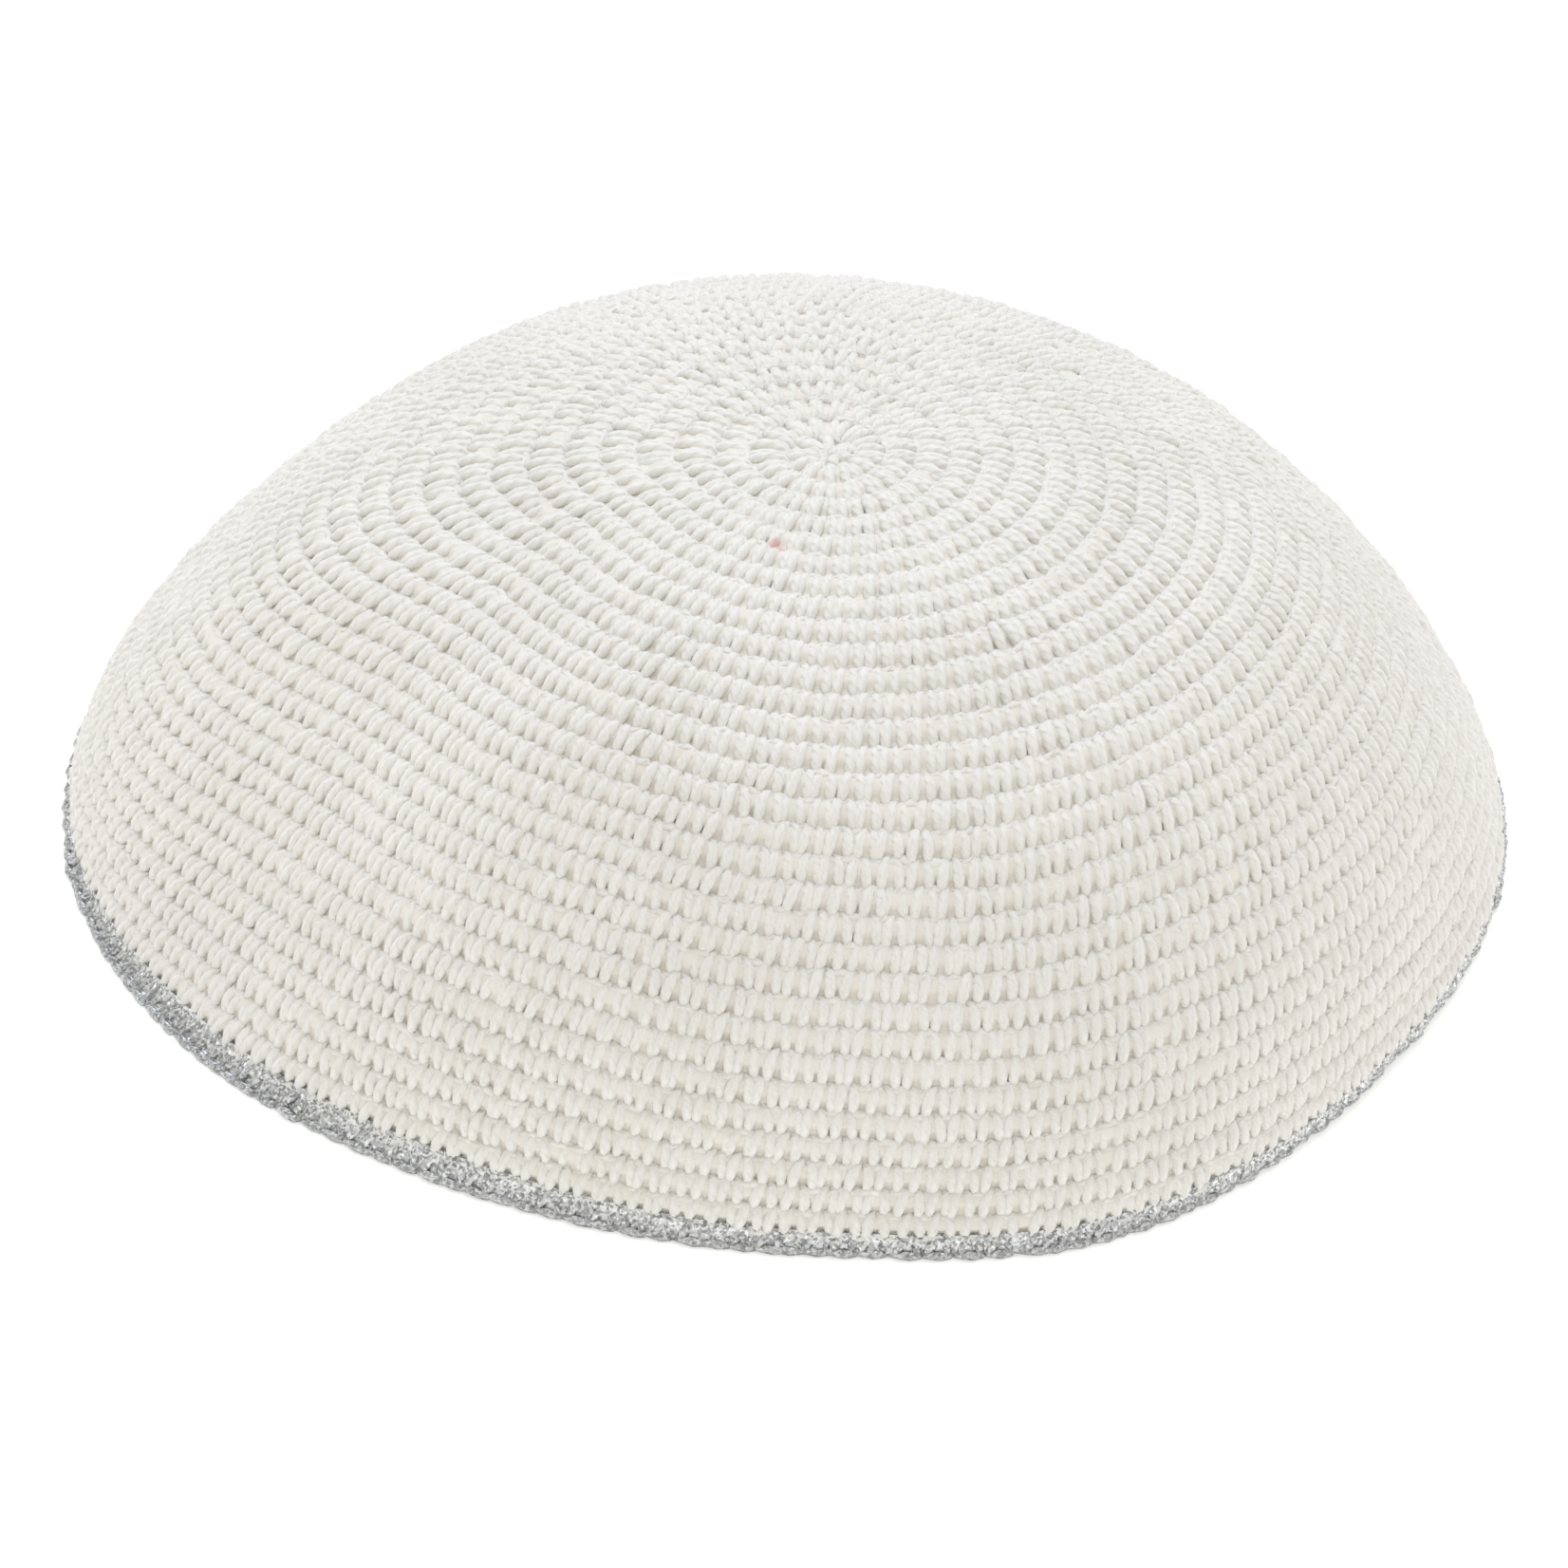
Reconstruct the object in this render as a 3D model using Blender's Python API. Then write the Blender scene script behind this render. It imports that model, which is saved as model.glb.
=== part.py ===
"""Kippah skullcap: a hollow crocheted dome with a metallic yarn edging round its rim.

Metres, +Z up. The rim rests on z = 0 and the origin is under the middle of the cap.
Directions are in degrees: 0 faces -Y, the front, and 90 faces +X.
"""

import math

import bmesh
import bpy
from mathutils import Vector

# Driving dimensions
RIM_RADIUS = 0.084
CROWN_HEIGHT = 0.057
CLOTH_THICKNESS = 0.0022
EDGING_THICKNESS = 0.0024
EDGING_WIDTH = 0.0028
EDGING_BEAD = 0.0003
SEAM_GAP = 0.0003
CENTRE_SHIFT_RIGHT = 0.0035
CENTRE_SHIFT_FRONT = 0.0035

# How closely the cloth is faceted
SIDES = 80
CROWN_RINGS = 20
PROFILE_STEPS = 120

# The wall's slope from the crown's centre to the rim, at shares of the wall's length.
PROFILE = [
    {"along": 0.00, "slope": 0.0},
    {"along": 0.14, "slope": 2.0},
    {"along": 0.28, "slope": 14.0},
    {"along": 0.43, "slope": 26.0},
    {"along": 0.57, "slope": 47.0},
    {"along": 0.72, "slope": 53.0},
    {"along": 0.86, "slope": 62.0},
    {"along": 1.00, "slope": 68.0},
]

# The soft forms of the worn cloth, one row for each direction round the cap. Shares by which the
# wall stands out at mid height and at the rim (of the radius there), how much the mid wall is
# raised (of the crown's height) and how far the edging flares out (of its thickness).
FORMS = [
    {"toward": 0, "mid": 0.01, "rim": -0.04, "lift": 0.00, "flare": 0.0},
    {"toward": 30, "mid": 0.03, "rim": 0.01, "lift": -0.01, "flare": -0.2},
    {"toward": 60, "mid": 0.07, "rim": -0.01, "lift": 0.01, "flare": -0.6},
    {"toward": 90, "mid": 0.06, "rim": 0.03, "lift": 0.02, "flare": -0.2},
    {"toward": 120, "mid": 0.00, "rim": 0.07, "lift": 0.04, "flare": 0.0},
    {"toward": 150, "mid": -0.01, "rim": 0.04, "lift": 0.04, "flare": 0.0},
    {"toward": 180, "mid": -0.02, "rim": 0.03, "lift": 0.05, "flare": 0.0},
    {"toward": 210, "mid": -0.02, "rim": 0.02, "lift": 0.05, "flare": 0.0},
    {"toward": 240, "mid": 0.01, "rim": 0.06, "lift": 0.02, "flare": 0.0},
    {"toward": 270, "mid": 0.11, "rim": 0.03, "lift": -0.05, "flare": 0.2},
    {"toward": 300, "mid": -0.07, "rim": -0.02, "lift": -0.01, "flare": 0.5},
    {"toward": 330, "mid": 0.01, "rim": -0.06, "lift": 0.05, "flare": 0.4},
]


def between(rows, key, column, place):
    """Read a column of a table between its rows, along straight lines."""
    for low, high in zip(rows, rows[1:]):
        if place <= high[key]:
            share = (place - low[key]) / (high[key] - low[key])
            return low[column] + share * (high[column] - low[column])
    return rows[-1][column]


def around(column, toward):
    """Read a column of FORMS in any direction, along a smooth closed curve."""
    count = len(FORMS)
    place = (toward % 360.0) / (360.0 / count)
    row = int(place)
    t = place - row
    before, low, high, after = (FORMS[(row + step) % count][column] for step in (-1, 0, 1, 2))
    bend = 2.0 * before - 5.0 * low + 4.0 * high - after
    twist = 3.0 * (low - high) + after - before
    return 0.5 * (2.0 * low + (high - before) * t + bend * t * t + twist * t ** 3)


def wall_profile():
    """Radius and drop of the wall at even shares of its length, and that length."""
    radii = [0.0]
    drops = [0.0]
    for step in range(PROFILE_STEPS):
        slope = math.radians(between(PROFILE, "along", "slope", (step + 0.5) / PROFILE_STEPS))
        radii.append(radii[-1] + math.cos(slope))
        drops.append(drops[-1] + math.sin(slope))
    radii = [radius * RIM_RADIUS / radii[-1] for radius in radii]
    drops = [drop * CROWN_HEIGHT / drops[-1] for drop in drops]
    pairs = list(zip(radii, drops))
    length = sum(math.dist(here, there) for here, there in zip(pairs, pairs[1:]))
    return radii, drops, length


RADII, DROPS, WALL_LENGTH = wall_profile()


def along_wall(values, along):
    """Read a list of even steps along the wall."""
    place = min(max(along, 0.0), 1.0) * PROFILE_STEPS
    step = min(int(place), PROFILE_STEPS - 1)
    return values[step] + (place - step) * (values[step + 1] - values[step])


def outside(along, toward):
    """A point of the cap's outer face."""
    mid_share = 4.0 * along * (1.0 - along)
    form = 1.0 + around("mid", toward) * mid_share + around("rim", toward) * along ** 2
    radius = along_wall(RADII, along) * form
    lift = CROWN_HEIGHT * around("lift", toward) * mid_share * along * 2.0
    settled = (1.0 - along) ** 2
    angle = math.radians(toward)
    return Vector((
        radius * math.sin(angle) + CENTRE_SHIFT_RIGHT * settled,
        -radius * math.cos(angle) - CENTRE_SHIFT_FRONT * settled,
        CROWN_HEIGHT - along_wall(DROPS, along) + lift,
    ))


def outward(along, toward):
    """The direction straight out of the outer face."""
    step = 0.01
    down = outside(min(along + step, 1.0), toward) - outside(max(along - step, 0.0), toward)
    right = outside(along, toward + 1.0) - outside(along, toward - 1.0)
    return down.cross(right).normalized()


def directions():
    return [360.0 * side / SIDES for side in range(SIDES)]


def add_ring(mesh, points):
    return [mesh.verts.new(point) for point in points]


def join_rings(mesh, upper, lower):
    """Face the band between two rings."""
    for side in range(SIDES):
        after = (side + 1) % SIDES
        mesh.faces.new((upper[side], lower[side], lower[after], upper[after]))


def close_ring(mesh, ring, centre, faces_up):
    """Close a ring with a fan of faces about a centre."""
    tip = mesh.verts.new(centre)
    for side in range(SIDES):
        after = (side + 1) % SIDES
        corners = (tip, ring[side], ring[after])
        mesh.faces.new(corners if faces_up else corners[::-1])


def cloth_material(name, colour, roughness, metallic):
    material = bpy.data.materials.new(name)
    material.use_nodes = True
    shader = material.node_tree.nodes["Principled BSDF"]
    shader.inputs["Base Color"].default_value = (*colour, 1.0)
    shader.inputs["Roughness"].default_value = roughness
    shader.inputs["Metallic"].default_value = metallic
    return material


def finish_object(name, mesh, material):
    bmesh.ops.recalc_face_normals(mesh, faces=mesh.faces)
    data = bpy.data.meshes.new(name)
    mesh.to_mesh(data)
    mesh.free()
    data.materials.append(material)
    data.shade_smooth()
    data.set_sharp_from_angle(angle=math.radians(40.0))
    part = bpy.data.objects.new(name, data)
    bpy.context.scene.collection.objects.link(part)
    return part


def crown_end():
    """Share of the wall's length where the crown's cloth ends above the edging."""
    return 1.0 - (EDGING_WIDTH + SEAM_GAP) / WALL_LENGTH


def build_crown():
    """The crocheted dome: an even wall, hollow below and closed at the top."""
    mesh = bmesh.new()
    shares = [crown_end() * (ring + 1) / CROWN_RINGS for ring in range(CROWN_RINGS)]
    outer = [add_ring(mesh, [outside(share, way) for way in directions()]) for share in shares]
    inner = []
    for share in shares:
        points = [outside(share, way) - outward(share, way) * CLOTH_THICKNESS for way in directions()]
        inner.append(add_ring(mesh, points))
    for rings in (outer, inner[::-1]):
        for upper, lower in zip(rings, rings[1:]):
            join_rings(mesh, upper, lower)
    join_rings(mesh, outer[-1], inner[-1])
    top = outside(0.0, 0.0)
    close_ring(mesh, outer[0], top, True)
    close_ring(mesh, inner[0], top - Vector((0.0, 0.0, CLOTH_THICKNESS)), False)
    return finish_object("crown", mesh, cloth_material("crown_cotton", (0.80, 0.79, 0.75), 0.95, 0.0))


def edging_section(way):
    """The edging's section in one direction: four corners and the bead, from the seam round."""
    seam = 1.0 - EDGING_WIDTH / WALL_LENGTH
    out = outward(seam, way)
    level = Vector((out.x, out.y, 0.0)).normalized()
    top_outer = outside(seam, way)
    top_inner = top_outer - out * EDGING_THICKNESS
    foot_outer = outside(1.0, way) + level * around("flare", way) * EDGING_THICKNESS
    foot_outer.z = 0.0
    foot_inner = foot_outer - level * EDGING_THICKNESS
    bead_outer = (top_outer + foot_outer) / 2.0 + out * EDGING_BEAD
    bead_inner = (top_inner + foot_inner) / 2.0 - out * EDGING_BEAD
    return [top_outer, bead_outer, foot_outer, foot_inner, bead_inner, top_inner]


def build_edging():
    """The metallic yarn edging: a low band under the crown's last round, flat where it rests."""
    mesh = bmesh.new()
    sections = [edging_section(way) for way in directions()]
    rings = [add_ring(mesh, corner) for corner in zip(*sections)]
    for upper, lower in zip(rings, rings[1:] + rings[:1]):
        join_rings(mesh, upper, lower)
    return finish_object("edging", mesh, cloth_material("edging_lurex", (0.42, 0.42, 0.43), 0.35, 0.8))


def centre_over_origin(parts):
    """Put the origin under the middle of the cap's outline."""
    points = [vertex.co for part in parts for vertex in part.data.vertices]
    middle = [(min(point[i] for point in points) + max(point[i] for point in points)) / 2.0 for i in (0, 1)]
    shift = Vector((-middle[0], -middle[1], 0.0))
    for part in parts:
        for vertex in part.data.vertices:
            vertex.co += shift


for old in list(bpy.data.objects):
    bpy.data.objects.remove(old, do_unlink=True)

centre_over_origin([build_crown(), build_edging()])
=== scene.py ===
"""The look of a crocheted kippah: an off-white cotton cap with a silver yarn edging, on a pale floor.

The cap is laid out as it is made. One spiral of single crochet grows from the crown's centre to the
rim, and the edging is worked onto its last round. Places on the cloth are given by their round,
counted from the crown's centre, and their direction in degrees: 0 faces -Y, the front, 90 faces +X.
"""

import math

import bmesh
import bpy
import numpy as np
from mathutils import Matrix, Vector


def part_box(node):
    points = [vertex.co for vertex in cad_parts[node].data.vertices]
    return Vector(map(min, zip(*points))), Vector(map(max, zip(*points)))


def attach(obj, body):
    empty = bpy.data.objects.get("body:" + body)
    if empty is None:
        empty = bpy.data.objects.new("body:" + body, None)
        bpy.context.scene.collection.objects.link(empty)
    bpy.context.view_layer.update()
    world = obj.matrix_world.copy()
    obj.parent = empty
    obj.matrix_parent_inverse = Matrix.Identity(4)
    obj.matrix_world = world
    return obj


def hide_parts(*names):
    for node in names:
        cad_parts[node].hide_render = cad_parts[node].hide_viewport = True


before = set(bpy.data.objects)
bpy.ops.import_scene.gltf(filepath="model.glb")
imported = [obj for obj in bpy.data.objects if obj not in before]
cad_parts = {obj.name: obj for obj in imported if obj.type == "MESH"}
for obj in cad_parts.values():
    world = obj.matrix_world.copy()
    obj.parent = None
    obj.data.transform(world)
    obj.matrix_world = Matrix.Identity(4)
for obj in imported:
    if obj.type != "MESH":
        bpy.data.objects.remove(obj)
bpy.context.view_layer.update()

MM = 0.001

# The seed of all the small unevenness
SEED = 18

# The cap's form, in metres, as in the part's source
RIM_RADIUS = 0.084
CROWN_HEIGHT = 0.057
CENTRE_SHIFT_RIGHT = 0.0035
CENTRE_SHIFT_FRONT = 0.0035
EDGING_THICKNESS = 0.0024
PART_SIDES = 80
PROFILE_STEPS = 120
PROFILE = [
    {"along": 0.00, "slope": 0.0},
    {"along": 0.14, "slope": 2.0},
    {"along": 0.28, "slope": 14.0},
    {"along": 0.43, "slope": 26.0},
    {"along": 0.57, "slope": 47.0},
    {"along": 0.72, "slope": 53.0},
    {"along": 0.86, "slope": 62.0},
    {"along": 1.00, "slope": 68.0},
]
FORMS = [
    {"toward": 0, "mid": 0.01, "rim": -0.04, "lift": 0.00, "flare": 0.0},
    {"toward": 30, "mid": 0.03, "rim": 0.01, "lift": -0.01, "flare": -0.2},
    {"toward": 60, "mid": 0.07, "rim": -0.01, "lift": 0.01, "flare": -0.6},
    {"toward": 90, "mid": 0.06, "rim": 0.03, "lift": 0.02, "flare": -0.2},
    {"toward": 120, "mid": 0.00, "rim": 0.07, "lift": 0.04, "flare": 0.0},
    {"toward": 150, "mid": -0.01, "rim": 0.04, "lift": 0.04, "flare": 0.0},
    {"toward": 180, "mid": -0.02, "rim": 0.03, "lift": 0.05, "flare": 0.0},
    {"toward": 210, "mid": -0.02, "rim": 0.02, "lift": 0.05, "flare": 0.0},
    {"toward": 240, "mid": 0.01, "rim": 0.06, "lift": 0.02, "flare": 0.0},
    {"toward": 270, "mid": 0.11, "rim": 0.03, "lift": -0.05, "flare": 0.2},
    {"toward": 300, "mid": -0.07, "rim": -0.02, "lift": -0.01, "flare": 0.5},
    {"toward": 330, "mid": 0.01, "rim": -0.06, "lift": 0.05, "flare": 0.4},
]

# A soft crease in the worn cloth: where it lies and how far it spreads, in degrees, how high it
# stands, how round its crest is, and the rounds over which it rises
CREASE_TOWARD = 22.0
CREASE_SPREAD = 15.0
CREASE_HEIGHT = 1.1 * MM
CREASE_ROUNDING = 0.02
CREASE_ROUNDS = (13.0, 20.0)

# The crochet: rounds of cotton, all rounds with the edging, and how much wider the crown's rounds are
COTTON_ROUNDS = 32
ALL_ROUNDS = 33
ROUND_EASE = 0.16
STITCH_WIDTH = 3.1 * MM

# Where the spiral starts, the rounds over which it turns into level rounds, and the share of a turn
# after which it tapers off
JOIN_TOWARD = 180.0
LEVELLING_ROUNDS = (20.0, 30.0)
TAPER_FROM = 0.85

# The crown's centre: the first stitch's turn, the turn where the first round ends, the round where its
# stitches start and the nearest that yarn comes to the centre, and the smallest rings of stitches
FIRST_TURN = 0.1
FIRST_ROUND_END = 1.1
FIRST_BASE = 0.15
NEAREST_ROUND = 0.12
SMALLEST_RING = 2.6 * MM
SMALLEST_SPIRAL = 3.0 * MM

# How the stitches are placed: the share of their width by which they lean, how much of a turn is worked
# at a time, how much each is drawn to an even spacing, and how far back and how often they are eased
LEAN = 0.24
TURN_AT_A_TIME = 0.45
EVEN_SHARE = 0.12
EASED_BACK = 4
EASING = 4

# The slant of each stitch follows its neighbours': its limits, how many it follows and how closely
SLANT_LIMITS = (-0.1, 0.6)
SLANT_STITCHES = 7
SLANT_SHARE = 0.6

# How uneven the stitches are: aside, alone and as rows of stitches are pulled together, in stitch
# widths, down in rounds, out in mm, and in width as a share
UNEVEN_ASIDE = 0.09
UNEVEN_PULL = 0.2
PULL_STITCHES = 9
UNEVEN_DOWN = 0.03
UNEVEN_OUT = 0.10
UNEVEN_WIDTH = 0.06

# The yarn: how long one turn of its plies is, and how many plies it has
TWIST_LENGTH = 3.5 * MM
COTTON_PLIES = 3
SILVER_PLIES = 4

# A strand's steps of roundness, which give it four or six sides
FOUR_SIDES = 0
SIX_SIDES = 1

# Points closer than this are one
MERGE_WITHIN = 0.001 * MM

# The cloth inside the stitches rises and sinks again over these shares of each round
SWELL_RISES = (0.0, 0.15)
SWELL_SINKS = (0.50, 0.75)

# Where a stray pink fibre lies, and its colour
PINK_FLECK = (-0.0018, -0.0252, 0.0567)
PINK = "#E3A79F"

# Bands of rounds that are made as one piece each
BANDS = [(0, 12), (12, 18), (18, 23), (23, 28), (28, 32)]

# The yarn's path in one stitch. across is in stitch widths, down in rounds from where the stitch is
# worked in (0) to its top at the rim side (1), out in mm from the cloth's face, thick in mm of radius.
STITCH_LEGS = [
    {"across": -0.32, "down": 1.08, "out": -1.45, "thick": 0.54},
    {"across": -0.34, "down": 0.90, "out": -0.98, "thick": 0.62},
    {"across": -0.32, "down": 0.66, "out": -0.70, "thick": 0.72},
    {"across": -0.28, "down": 0.36, "out": -0.63, "thick": 0.75},
    {"across": -0.20, "down": 0.09, "out": -0.88, "thick": 0.66},
    {"across": 0.00, "down": -0.03, "out": -1.42, "thick": 0.55},
    {"across": 0.20, "down": 0.09, "out": -0.94, "thick": 0.64},
    {"across": 0.28, "down": 0.36, "out": -0.69, "thick": 0.73},
    {"across": 0.31, "down": 0.64, "out": -0.75, "thick": 0.72},
    {"across": 0.33, "down": 0.86, "out": -1.00, "thick": 0.62},
    {"across": 0.31, "down": 1.03, "out": -1.45, "thick": 0.54},
]
# The chain on top of the stitches: the strand in front of it and the one behind, along the whole round
CHAIN_FRONT = [
    {"across": 0.00, "down": 1.18, "out": -1.12, "thick": 0.54},
    {"across": 0.50, "down": 1.03, "out": -0.94, "thick": 0.60},
]
CHAIN_BACK = [
    {"across": 0.00, "down": 0.98, "out": -2.00, "thick": 0.46},
    {"across": 0.50, "down": 1.02, "out": -1.88, "thick": 0.46},
]
# The yarn behind each stitch, which shows as short slanting bars on the cap's inside
STITCH_BACK = [
    {"across": -0.36, "down": 0.88, "out": -1.30, "thick": 0.48},
    {"across": -0.22, "down": 0.66, "out": -1.78, "thick": 0.54},
    {"across": 0.22, "down": 0.34, "out": -1.78, "thick": 0.54},
    {"across": 0.36, "down": 0.12, "out": -1.30, "thick": 0.48},
]
# The silver yarn's legs, and the loop of its chain, which closes on itself
EDGING_LEGS = [
    {"across": -0.31, "down": 0.78, "out": -1.20, "thick": 0.52},
    {"across": -0.34, "down": 0.52, "out": -0.64, "thick": 0.64},
    {"across": -0.28, "down": 0.28, "out": -0.60, "thick": 0.68},
    {"across": -0.18, "down": 0.08, "out": -0.90, "thick": 0.60},
    {"across": -0.10, "down": -0.10, "out": -1.16, "thick": 0.52},
    {"across": 0.00, "down": -0.18, "out": -1.60, "thick": 0.48},
    {"across": 0.10, "down": -0.10, "out": -1.18, "thick": 0.50},
    {"across": 0.18, "down": 0.08, "out": -0.94, "thick": 0.57},
    {"across": 0.28, "down": 0.28, "out": -0.64, "thick": 0.66},
    {"across": 0.34, "down": 0.52, "out": -0.70, "thick": 0.62},
    {"across": 0.31, "down": 0.78, "out": -1.20, "thick": 0.50},
]
EDGING_CHAIN = [
    {"across": -0.68, "down": 0.76, "out": -1.15, "thick": 0.50},
    {"across": -0.34, "down": 0.66, "out": -0.50, "thick": 0.56},
    {"across": 0.12, "down": 0.72, "out": -0.40, "thick": 0.58},
    {"across": 0.50, "down": 0.82, "out": -0.80, "thick": 0.54},
    {"across": 0.60, "down": 0.86, "out": -1.25, "thick": 0.50},
    {"across": 0.34, "down": 0.90, "out": -1.75, "thick": 0.54},
    {"across": -0.14, "down": 0.90, "out": -1.95, "thick": 0.54},
    {"across": -0.54, "down": 0.84, "out": -1.60, "thick": 0.50},
]


def around(column, toward):
    """Read a column of FORMS in any directions, along a smooth closed curve."""
    values = np.array([row[column] for row in FORMS])
    count = len(values)
    place = np.mod(np.asarray(toward, float), 360.0) / (360.0 / count)
    row = place.astype(int)
    t = place - row
    before, low, high, after = (values[(row + step) % count] for step in (-1, 0, 1, 2))
    bend = 2.0 * before - 5.0 * low + 4.0 * high - after
    twist = 3.0 * (low - high) + after - before
    return 0.5 * (2.0 * low + (high - before) * t + bend * t * t + twist * t ** 3)


def wall_profile():
    """Radius and drop of the wall at even shares of its length."""
    shares = (np.arange(PROFILE_STEPS) + 0.5) / PROFILE_STEPS
    known_shares = [row["along"] for row in PROFILE]
    known_slopes = [row["slope"] for row in PROFILE]
    slopes = np.radians(np.interp(shares, known_shares, known_slopes))
    radii = np.concatenate([[0.0], np.cumsum(np.cos(slopes))])
    drops = np.concatenate([[0.0], np.cumsum(np.sin(slopes))])
    return radii * RIM_RADIUS / radii[-1], drops * CROWN_HEIGHT / drops[-1]


RADII, DROPS = wall_profile()
EVEN_STEPS = np.linspace(0.0, 1.0, PROFILE_STEPS + 1)


def smooth_step(low, high, value):
    """0 up to low, 1 from high on, and a smooth rise between them."""
    t = np.clip((value - low) / (high - low), 0.0, 1.0)
    return t * t * (3.0 - 2.0 * t)


def level_of(turns):
    """The round where a turn of the spiral lies: a true spiral in the crown, level rounds at the rim.

    The spiral gains its round over the back, where its last stitches taper off against the rim.
    """
    part = np.mod(turns, 1.0)
    raised = 1.0 - part + part * smooth_step(TAPER_FROM, 1.0, part)
    return np.minimum(turns + raised * smooth_step(*LEVELLING_ROUNDS, turns), COTTON_ROUNDS)


def share_of(level):
    """Share of the wall's length at a round. The crown's rounds are a little wider than the rim's."""
    # Yarn may reach a hundredth past the rim
    share = np.clip(level / ALL_ROUNDS, 0.0, 1.01)
    return share + ROUND_EASE * share * (1.0 - share)


def ring_radius(level, toward):
    """How far from the crown's axis the cloth lies, before the soft crease and the edging's flare."""
    along = share_of(level)
    mid = around("mid", toward) * 4.0 * along * (1.0 - along)
    rim = around("rim", toward) * along ** 2
    return np.interp(along, EVEN_STEPS, RADII) * (1.0 + mid + rim)


def front_crease(level, toward):
    """How far the cloth stands out along the crease that ends the flat of the front, on its right."""
    aside = (np.mod(toward + 180.0, 360.0) - 180.0 - CREASE_TOWARD) / CREASE_SPREAD
    crest = np.maximum(1.0 - np.sqrt(aside ** 2 + CREASE_ROUNDING), 0.0)
    return CREASE_HEIGHT * crest * smooth_step(*CREASE_ROUNDS, level)


def face_point(level, toward):
    """A point of the cloth's outer face, at a round and a direction."""
    along = share_of(level)
    edging_share = np.clip(level - COTTON_ROUNDS, 0.0, 1.0)
    radius = ring_radius(level, toward) + front_crease(level, toward)
    radius = radius + EDGING_THICKNESS * around("flare", toward) * edging_share
    lift = CROWN_HEIGHT * around("lift", toward) * 8.0 * along ** 2 * (1.0 - along)
    settled = (1.0 - along) ** 2
    angle = np.radians(toward)
    return np.stack([
        radius * np.sin(angle) + CENTRE_SHIFT_RIGHT * settled,
        -radius * np.cos(angle) - CENTRE_SHIFT_FRONT * settled,
        CROWN_HEIGHT - np.interp(along, EVEN_STEPS, DROPS) + lift,
    ], axis=-1)


def unit(vectors):
    """The same directions with a length of 1."""
    return vectors / np.maximum(np.linalg.norm(vectors, axis=-1, keepdims=True), 1e-12)


def face_out(level, toward):
    """The direction straight out of the cloth's face."""
    rounds = 0.25
    degrees = 1.0
    # Nearer the centre, a step inward would pass over it
    level = np.maximum(level, 0.3)
    below = face_point(np.minimum(level + rounds, ALL_ROUNDS), toward)
    down = below - face_point(level - rounds, toward)
    across = face_point(level, toward + degrees) - face_point(level, toward - degrees)
    return unit(np.cross(down, across))


def centring():
    """The part's origin is under the middle of its outline, so all that is made here moves with it."""
    low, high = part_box("edging")
    ways = np.arange(0.0, 360.0, 360.0 / PART_SIDES)
    foot = face_point(np.full(len(ways), float(ALL_ROUNDS)), ways)
    middle = (foot.min(axis=0) + foot.max(axis=0)) / 2.0
    return np.array([(low[0] + high[0]) / 2.0 - middle[0], (low[1] + high[1]) / 2.0 - middle[1], 0.0])


CENTRING = centring()


def stitch_degrees(level, toward):
    """Degrees round the cap that one stitch takes."""
    return np.degrees(STITCH_WIDTH / np.maximum(ring_radius(level, toward), SMALLEST_RING))


def work_spiral():
    """Turns of the spiral at which each cotton stitch has its top if all are spaced evenly."""
    turns = [FIRST_TURN]
    while turns[-1] < COTTON_ROUNDS:
        radius = float(ring_radius(level_of(turns[-1]), JOIN_TOWARD + 360.0 * turns[-1]))
        turns.append(turns[-1] + STITCH_WIDTH / (2.0 * math.pi * max(radius, SMALLEST_SPIRAL)))
    return np.array(turns[:-1])


def running_mean(values, count):
    """The mean of each value and its neighbours, count of them in all."""
    return np.convolve(values, np.ones(count) / count, "same")


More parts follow.
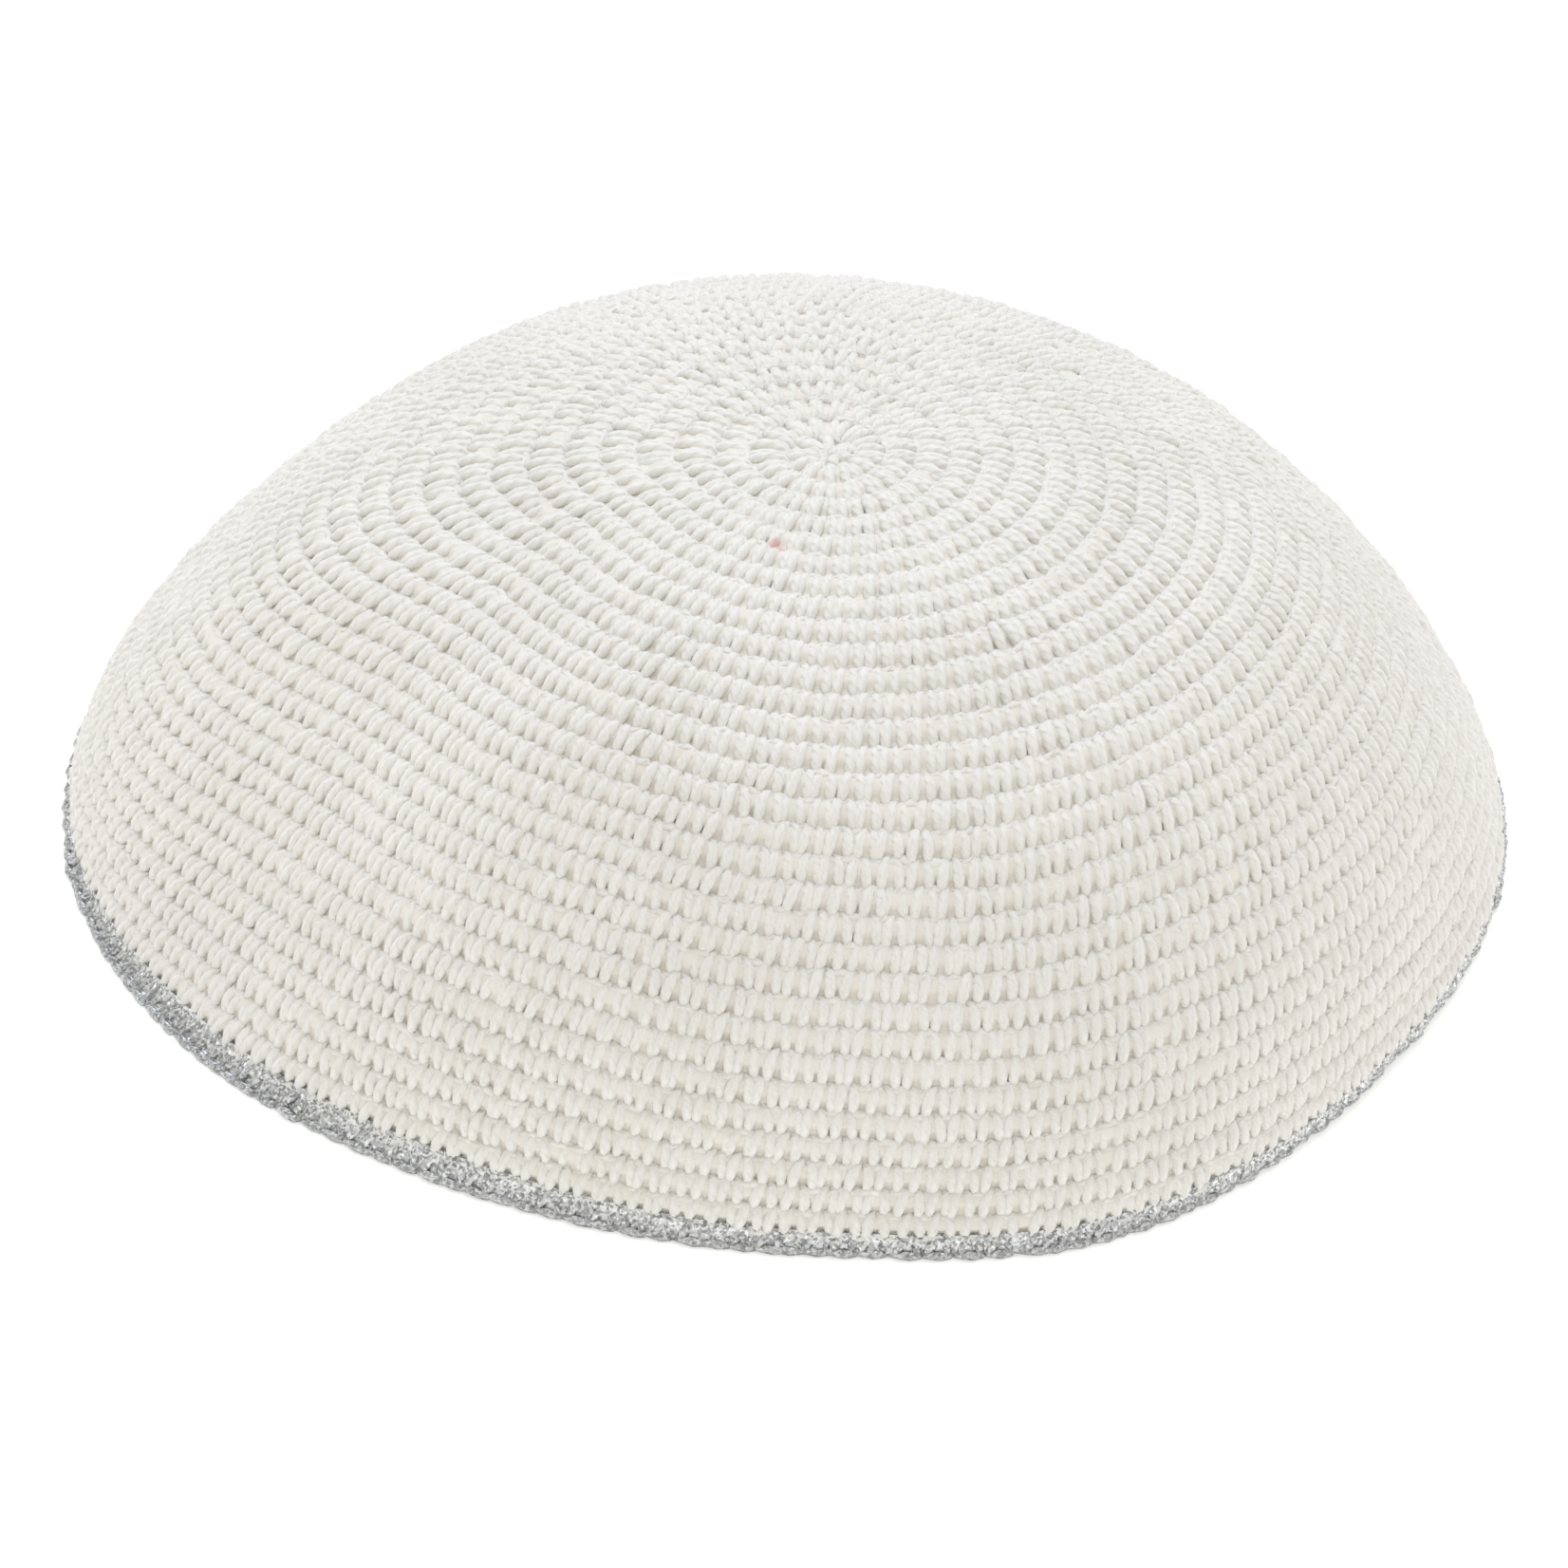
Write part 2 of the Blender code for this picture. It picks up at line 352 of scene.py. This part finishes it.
def work_stitches(chance):
    """Every cotton stitch: its turns, and the round and direction of its base and its top.

    Each stitch is worked into one of the round before and leans from it by the same share, so the
    stitches stand in slanting columns. Where two are worked into one, their neighbours make room.
    """
    even = work_spiral()
    count = len(even)
    share = stitch_degrees(level_of(even), JOIN_TOWARD + 360.0 * even) / 360.0
    turns = even.copy()
    parent = np.zeros(count, int)
    start = int(np.searchsorted(even, FIRST_ROUND_END))
    while start < count:
        stop = min(int(np.searchsorted(even, even[start] + TURN_AT_A_TIME)), count)
        stop = max(stop, start + 1)
        here = np.arange(start, stop)
        wanted = even[here] - 1.0 + LEAN * share[here]
        after = np.clip(np.searchsorted(turns[:start], wanted), 1, start - 1)
        parent[here] = np.where(turns[after] - wanted < wanted - turns[after - 1], after, after - 1)
        placed = turns[parent[here]] + 1.0 - LEAN * share[here]
        turns[here] = (1.0 - EVEN_SHARE) * placed + EVEN_SHARE * even[here]
        low = max(start - EASED_BACK, 1)
        for _ in range(EASING):
            near = turns[low:stop]
            middle = 0.5 * (turns[low - 1:stop - 1] + np.append(near[1:], 2.0 * near[-1] - near[-2]))
            turns[low:stop] = 0.5 * near + 0.5 * middle
        start = stop
    pull = running_mean(chance.normal(0.0, 1.0, count), PULL_STITCHES)
    turns = turns + (UNEVEN_ASIDE * chance.normal(0.0, 1.0, count) + UNEVEN_PULL * pull) * share
    top_toward = JOIN_TOWARD + 360.0 * turns
    top_level = level_of(even) + chance.normal(0.0, UNEVEN_DOWN, count)
    first = even < FIRST_ROUND_END
    slant = np.clip((top_toward[parent] + 360.0 - top_toward) / (360.0 * share), *SLANT_LIMITS)
    slant = SLANT_SHARE * running_mean(slant, SLANT_STITCHES)
    return {
        "turns": even,
        "base_level": np.where(first, FIRST_BASE, top_level[parent]),
        "base_toward": np.where(first, top_toward, top_toward + 360.0 * slant * share),
        "top_level": top_level,
        "top_toward": top_toward,
        "lift": chance.normal(0.0, UNEVEN_OUT, count),
        "width": 1.0 + chance.normal(0.0, UNEVEN_WIDTH, count),
    }


def work_edging(cotton, chance):
    """One silver stitch into each cotton stitch of the last round."""
    last = cotton["turns"] >= COTTON_ROUNDS - 1
    count = int(last.sum())
    base_toward = cotton["top_toward"][last]
    degrees = stitch_degrees(np.full(count, ALL_ROUNDS - 0.5), base_toward)
    return {
        "turns": cotton["turns"][last] + 1.0,
        "base_level": np.full(count, float(COTTON_ROUNDS)),
        "base_toward": base_toward,
        "top_level": np.full(count, float(ALL_ROUNDS)),
        "top_toward": base_toward - LEAN * degrees,
        "lift": chance.normal(0.0, UNEVEN_OUT, count),
        "width": 1.0 + chance.normal(0.0, UNEVEN_WIDTH, count),
    }


def yarn_paths(stitches, path):
    """Points and radii of the yarn in every stitch, in metres."""
    keys = ("across", "down", "out", "thick")
    across, down, out, thick = (np.array([row[key] for row in path]) for key in keys)
    base_level, base_toward = stitches["base_level"][:, None], stitches["base_toward"][:, None]
    top_level, top_toward = stitches["top_level"][:, None], stitches["top_toward"][:, None]
    level = np.maximum(base_level * (1.0 - down) + top_level * down, NEAREST_ROUND)
    toward = base_toward * (1.0 - down) + top_toward * down
    toward = toward + across * stitches["width"][:, None] * stitch_degrees(level, toward)
    raised = (out + stitches["lift"][:, None]) * MM
    points = face_point(level, toward) + face_out(level, toward) * raised[..., None]
    radii = np.broadcast_to(thick * MM, level.shape).copy()
    points[..., 2] = np.maximum(points[..., 2], radii)
    return points + CENTRING, radii


def end_to_end(paths):
    """Join the short paths of all stitches, which follow each other, into one long strand."""
    points, radii = paths
    return [points.reshape(-1, 3)], [radii.reshape(-1)]


def lay_yarn(name, strands, roundness, closed=False):
    """One piece of many yarn strands, each a round tube along its path."""
    curve = bpy.data.curves.new(name, "CURVE")
    curve.dimensions = "3D"
    curve.bevel_depth = 1.0
    curve.bevel_resolution = roundness
    curve.use_fill_caps = True
    lengths = []
    for points, radii in zip(*strands):
        spline = curve.splines.new("POLY")
        spline.points.add(len(points) - 1)
        spline.points.foreach_set("co", np.column_stack([points, np.ones(len(points))]).ravel())
        spline.points.foreach_set("radius", radii)
        spline.use_cyclic_u = closed
        lengths.append(np.linalg.norm(np.diff(points, axis=0), axis=1).sum())
    made = bpy.data.objects.new(name + "_path", curve)
    bpy.context.scene.collection.objects.link(made)
    mesh = bpy.data.meshes.new_from_object(made.evaluated_get(bpy.context.evaluated_depsgraph_get()))
    bpy.data.objects.remove(made)
    bpy.data.curves.remove(curve)
    count_twists(mesh, np.mean(lengths))
    return close_mesh(name, mesh)


def count_twists(mesh, strand_length):
    """Make the UV map, which runs from 0 to 1 along each strand, count the yarn's twists instead."""
    corners = mesh.uv_layers[0].uv
    places = np.empty(2 * len(corners), np.float32)
    corners.foreach_get("vector", places)
    places[0::2] *= strand_length / TWIST_LENGTH
    corners.foreach_set("vector", places)


def close_mesh(name, mesh):
    """Merge what lies together, turn the faces outward and make it an object."""
    shape = bmesh.new()
    shape.from_mesh(mesh)
    bmesh.ops.remove_doubles(shape, verts=shape.verts, dist=MERGE_WITHIN)
    bmesh.ops.recalc_face_normals(shape, faces=shape.faces)
    shape.to_mesh(mesh)
    shape.free()
    mesh.name = name
    mesh.materials.clear()
    return smooth_object(name, mesh)


def smooth_object(name, mesh):
    """An object of this mesh, shaded smooth."""
    mesh.shade_smooth()
    piece = bpy.data.objects.new(name, mesh)
    bpy.context.scene.collection.objects.link(piece)
    return piece


def round_phase(level, toward):
    """How far a place lies from the base (0) to the top (1) of the round of stitches that covers it."""
    part = np.mod(toward - JOIN_TOWARD, 360.0) / 360.0
    phase = np.empty(len(level))
    # The places lie along a few straight ways from the centre, told apart to a millionth of a turn
    for way in np.unique(np.round(part, 6)):
        here = np.abs(part - way) < 1e-6
        inner_tops = level_of(way + np.arange(COTTON_ROUNDS - 0.5))
        tops = np.concatenate([[way - 1.0], inner_tops, [ALL_ROUNDS]])
        phase[here] = np.interp(level[here], tops, np.arange(len(tops)))
    return np.mod(phase, 1.0)


def inner_cloth(name, low, high, rings, sides, depth, roll, wall):
    """A thin layer of cloth inside the stitches, from one round to another.

    It is spun flat, ring by ring, and then laid on the cap's form, at a depth below the cloth's face.
    Under each round of stitches it swells outward by roll.
    """
    shape = bmesh.new()
    rounds = [low + (high - low) * ring / rings for ring in range(rings + 1)]
    line = [shape.verts.new((level, 0.0, 0.0)) for level in rounds]
    edges = [shape.edges.new(pair) for pair in zip(line, line[1:])]
    bmesh.ops.spin(shape, geom=line + edges, cent=(0.0, 0.0, 0.0), axis=(0.0, 0.0, 1.0),
                   angle=2.0 * math.pi, steps=sides, use_merge=True)
    bmesh.ops.remove_doubles(shape, verts=shape.verts, dist=1e-4)
    places = np.array([vertex.co for vertex in shape.verts])
    level = np.hypot(places[:, 0], places[:, 1])
    toward = np.degrees(np.arctan2(places[:, 0], -places[:, 1]))
    phase = round_phase(level, toward)
    swell = smooth_step(*SWELL_RISES, phase) * (1.0 - smooth_step(*SWELL_SINKS, phase))
    inward = (depth - roll * swell)[:, None]
    laid = face_point(level, toward) - face_out(level, toward) * inward + CENTRING
    for vertex, place in zip(shape.verts, laid):
        vertex.co = place
    bmesh.ops.recalc_face_normals(shape, faces=shape.faces)
    mesh = bpy.data.meshes.new(name)
    shape.to_mesh(mesh)
    shape.free()
    piece = smooth_object(name, mesh)
    thickness = piece.modifiers.new("cloth", "SOLIDIFY")
    thickness.thickness = wall
    thickness.offset = -1.0
    return piece


def linear(hex_colour):
    """An sRGB hex colour as linear red, green, blue and alpha."""
    parts = [int(hex_colour[i:i + 2], 16) / 255.0 for i in (1, 3, 5)]
    parts = [part / 12.92 if part <= 0.04045 else ((part + 0.055) / 1.055) ** 2.4 for part in parts]
    return (*parts, 1.0)


def add_node(material, kind, settings, links):
    """Add a node, set its properties and inputs, and link its inputs."""
    node = material.node_tree.nodes.new(kind)
    for name, value in settings.items():
        if isinstance(name, int) or name in node.inputs:
            node.inputs[name].default_value = value
        else:
            setattr(node, name, value)
    for name, source in links.items():
        material.node_tree.links.new(source, node.inputs[name])
    return node


def new_material(name, colour, roughness, metallic):
    """A material and its shader."""
    material = bpy.data.materials.new(name)
    material.use_nodes = True
    shader = material.node_tree.nodes["Principled BSDF"]
    shader.inputs["Base Color"].default_value = linear(colour)
    shader.inputs["Roughness"].default_value = roughness
    shader.inputs["Metallic"].default_value = metallic
    return material, shader


def scale_for(size):
    """A texture's scale for a pattern of this size in metres."""
    return 1.0 / size


def ply_ridges(material, place, plies):
    """Ridges that slant round each strand, as many as the yarn has plies."""
    # At a scale of 1 the slanting bands repeat after this length
    wave_length = 0.2 * math.pi
    turned = add_node(material, "ShaderNodeMapping",
                      {"Scale": (plies * wave_length, plies * wave_length, 0.0)},
                      {"Vector": place.outputs["UV"]})
    return add_node(material, "ShaderNodeTexWave",
                    {"wave_type": "BANDS", "bands_direction": "DIAGONAL", "Scale": 1.0,
                     "Distortion": 0.6, "Detail": 1.0},
                    {"Vector": turned.outputs["Vector"]})


def cotton_yarn(name, colour, dim, bright):
    """Soft cotton in three plies: matt, off-white, with fine fibre and a slow change of tint."""
    material, shader = new_material(name, colour, 0.9, 0.0)
    shader.inputs["Sheen Weight"].default_value = 0.35
    shader.inputs["Sheen Roughness"].default_value = 0.5
    place = add_node(material, "ShaderNodeTexCoord", {}, {})
    # Washing and handling tint the cloth over some 25 mm, and each strand a little over 2 mm
    wide = add_node(material, "ShaderNodeTexNoise", {"Scale": scale_for(25.0 * MM)},
                    {"Vector": place.outputs["Object"]})
    near = add_node(material, "ShaderNodeTexNoise", {"Scale": scale_for(2.4 * MM)},
                    {"Vector": place.outputs["Object"]})
    both = add_node(material, "ShaderNodeMath", {"operation": "MULTIPLY"},
                    {0: wide.outputs["Fac"], 1: near.outputs["Fac"]})
    spread = add_node(material, "ShaderNodeMapRange", {"From Min": 0.15, "From Max": 0.35},
                      {"Value": both.outputs[0]})
    tint = add_node(material, "ShaderNodeMix", {"data_type": "RGBA", 6: linear(dim), 7: linear(bright)},
                    {0: spread.outputs["Result"]})
    # One stray pink fibre caught in the yarn near the crown's centre
    off = add_node(material, "ShaderNodeVectorMath", {"operation": "DISTANCE", 1: PINK_FLECK},
                   {0: place.outputs["Object"]})
    fleck = add_node(material, "ShaderNodeMapRange",
                     {"From Min": 0.6 * MM, "From Max": 1.4 * MM, "To Min": 0.8, "To Max": 0.0},
                     {"Value": off.outputs["Value"]})
    flecked = add_node(material, "ShaderNodeMix", {"data_type": "RGBA", 7: linear(PINK)},
                       {0: fleck.outputs["Result"], 6: tint.outputs[2]})
    material.node_tree.links.new(flecked.outputs[2], shader.inputs["Base Color"])
    # The plies show as slanting ridges on each strand
    plies = ply_ridges(material, place, COTTON_PLIES)
    ridges = add_node(material, "ShaderNodeBump", {"Strength": 0.5, "Distance": 0.22 * MM},
                      {"Height": plies.outputs["Fac"]})
    # Fibre of some 0.15 mm, coarser than the real 0.02 mm so that it shows
    fibre = add_node(material, "ShaderNodeTexNoise", {"Scale": scale_for(0.15 * MM), "Detail": 3.0},
                     {"Vector": place.outputs["Object"]})
    fuzz = add_node(material, "ShaderNodeBump", {"Strength": 0.3, "Distance": 0.10 * MM},
                    {"Height": fibre.outputs["Fac"], "Normal": ridges.outputs["Normal"]})
    material.node_tree.links.new(fuzz.outputs["Normal"], shader.inputs["Normal"])
    return material


def silver_lurex_yarn():
    """Polyester film with a metal skin, in strips twisted with grey nylon: it glints in specks."""
    material, shader = new_material("silver_lurex_yarn", "#BCBDBD", 0.32, 0.7)
    place = add_node(material, "ShaderNodeTexCoord", {}, {})
    # Strips of film some 0.3 mm wide turn this way and that. Each has its own grey: partly the grey
    # nylon showing between the strips, partly painted glint, lighter or darker as if the strip caught
    # more or less light
    strips = add_node(material, "ShaderNodeTexVoronoi", {"Scale": scale_for(0.3 * MM)},
                      {"Vector": place.outputs["Object"]})
    grey = add_node(material, "ShaderNodeSeparateColor", {}, {"Color": strips.outputs["Color"]})
    # Painted shade: the strips are darker towards the foot, where shade falls under the edging's lip as
    # it rests on the floor, and a little lighter towards the top
    height = add_node(material, "ShaderNodeSeparateXYZ", {}, {"Vector": place.outputs["Object"]})
    foot = add_node(material, "ShaderNodeMapRange",
                    {"From Min": 0.0, "From Max": 2.6 * MM, "To Min": 0.42, "To Max": 1.2},
                    {"Value": height.outputs["Z"]})
    # Each strip's painted glint, darkened by the painted shade at the foot
    glint = add_node(material, "ShaderNodeMath", {"operation": "MULTIPLY"},
                     {0: grey.outputs["Red"], 1: foot.outputs["Result"]})
    tint = add_node(material, "ShaderNodeMix",
                    {"data_type": "RGBA", 6: linear("#888A8B"), 7: linear("#F4F5F5")},
                    {0: glint.outputs[0]})
    material.node_tree.links.new(tint.outputs[2], shader.inputs["Base Color"])
    plies = ply_ridges(material, place, SILVER_PLIES)
    tilt = add_node(material, "ShaderNodeBump", {"Strength": 0.6, "Distance": 0.2 * MM},
                    {"Height": grey.outputs["Green"]})
    ridges = add_node(material, "ShaderNodeBump", {"Strength": 0.6, "Distance": 0.15 * MM},
                      {"Height": plies.outputs["Fac"], "Normal": tilt.outputs["Normal"]})
    material.node_tree.links.new(ridges.outputs["Normal"], shader.inputs["Normal"])
    return material


def finish_piece(piece, material, node):
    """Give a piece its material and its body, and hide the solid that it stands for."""
    piece.data.materials.append(material)
    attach(piece, "root")
    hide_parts(node)


def make_cap():
    """All the yarn and the cloth inside it, in bands of rounds from the crown's centre to the rim."""
    chance = np.random.default_rng(SEED)
    outer_cotton = cotton_yarn("soft_cotton_yarn", "#ECEAE4", "#E9E7E1", "#EFEDE8")
    # Painted shade: deep in the cloth, between the stitches, the cotton is given a slightly darker,
    # browner colour for the shade there and the warm light that comes through the yarn
    painted_shade_cotton = cotton_yarn("shaded_cotton_yarn", "#E8E4DB", "#E5E0D7", "#EBE7DF")
    silver_yarn = silver_lurex_yarn()
    cotton = work_stitches(chance)
    silver = work_edging(cotton, chance)
    for low, high in BANDS:
        chosen = (cotton["turns"] >= low) & (cotton["turns"] < high)
        band = {key: values[chosen] for key, values in cotton.items()}
        rounds = f"rounds_{low + 1}_to_{high}"
        legs = lay_yarn(rounds + "_legs", yarn_paths(band, STITCH_LEGS), SIX_SIDES)
        front, back = (end_to_end(yarn_paths(band, path)) for path in (CHAIN_FRONT, CHAIN_BACK))
        chain = lay_yarn(rounds + "_chain", (front[0] + back[0], front[1] + back[1]), SIX_SIDES)
        backs = lay_yarn(rounds + "_backs", yarn_paths(band, STITCH_BACK), FOUR_SIDES)
        for piece in (legs, backs, chain):
            finish_piece(piece, outer_cotton, "crown")
    lining = inner_cloth("crown_ground", low=0.0, high=32.1, rings=288, sides=120,
                         depth=1.00 * MM, roll=0.58 * MM, wall=0.4 * MM)
    # The lining inside the stitches wears the cotton with the painted shade
    finish_piece(lining, painted_shade_cotton, "crown")
    edging = lay_yarn("edging_legs", yarn_paths(silver, EDGING_LEGS), SIX_SIDES)
    finish_piece(edging, silver_yarn, "edging")
    braid = lay_yarn("edging_chain", yarn_paths(silver, EDGING_CHAIN), SIX_SIDES, closed=True)
    finish_piece(braid, silver_yarn, "edging")
    core = inner_cloth("edging_ground", low=31.8, high=32.75, rings=4, sides=180,
                       depth=0.4 * MM, roll=0.0, wall=0.3 * MM)
    finish_piece(core, silver_yarn, "edging")


def make_floor():
    """A plain pale floor, lit from below a little as a photographer's light table is."""
    shape = bmesh.new()
    bmesh.ops.create_grid(shape, x_segments=1, y_segments=1, size=4.0)
    mesh = bpy.data.meshes.new("floor")
    shape.to_mesh(mesh)
    shape.free()
    floor = bpy.data.objects.new("floor", mesh)
    bpy.context.scene.collection.objects.link(floor)
    material, shader = new_material("pale_table_top", "#F5F5F3", 0.9, 0.0)
    shader.inputs["Emission Color"].default_value = (1.0, 1.0, 1.0, 1.0)
    shader.inputs["Emission Strength"].default_value = 0.42
    mesh.materials.append(material)


def make_light():
    """A white tent round the table and one large soft light above."""
    world = bpy.data.worlds.new("studio")
    bpy.context.scene.world = world
    world.use_nodes = True
    sky = world.node_tree.nodes["Background"]
    sky.inputs["Color"].default_value = linear("#FFFDF7")
    sky.inputs["Strength"].default_value = 0.795
    lamp = bpy.data.lights.new("top_light", "AREA")
    lamp.shape = "DISK"
    lamp.size = 1.2
    lamp.energy = 8.5
    lamp.color = linear("#E4ECFF")[:3]
    light = bpy.data.objects.new("top_light", lamp)
    light.location = (-0.05, 0.5, 1.2)
    light.rotation_euler = (-light.location).to_track_quat("-Z", "Y").to_euler()
    bpy.context.scene.collection.objects.link(light)
    bpy.context.scene.view_settings.view_transform = "Standard"


def make_camera():
    """The photograph's view: 35 degrees above the floor, a long lens, turned a little."""
    height = math.radians(34.97)
    distance = 0.905
    roll = math.radians(1.83)
    target = Vector((-0.00061, 0.0, 0.00776)) + Vector(CENTRING)
    camera = bpy.data.objects.new("camera", bpy.data.cameras.new("camera"))
    camera.data.lens = 174.5
    camera.data.sensor_width = 36.0
    camera.data.clip_start = 0.01
    camera.location = target + distance * Vector((0.0, -math.cos(height), math.sin(height)))
    facing = (target - camera.location).to_track_quat("-Z", "Y").to_matrix()
    camera.rotation_euler = (facing @ Matrix.Rotation(roll, 3, "Z")).to_euler()
    bpy.context.scene.collection.objects.link(camera)
    bpy.context.scene.camera = camera


make_camera()
make_light()
make_floor()
make_cap()
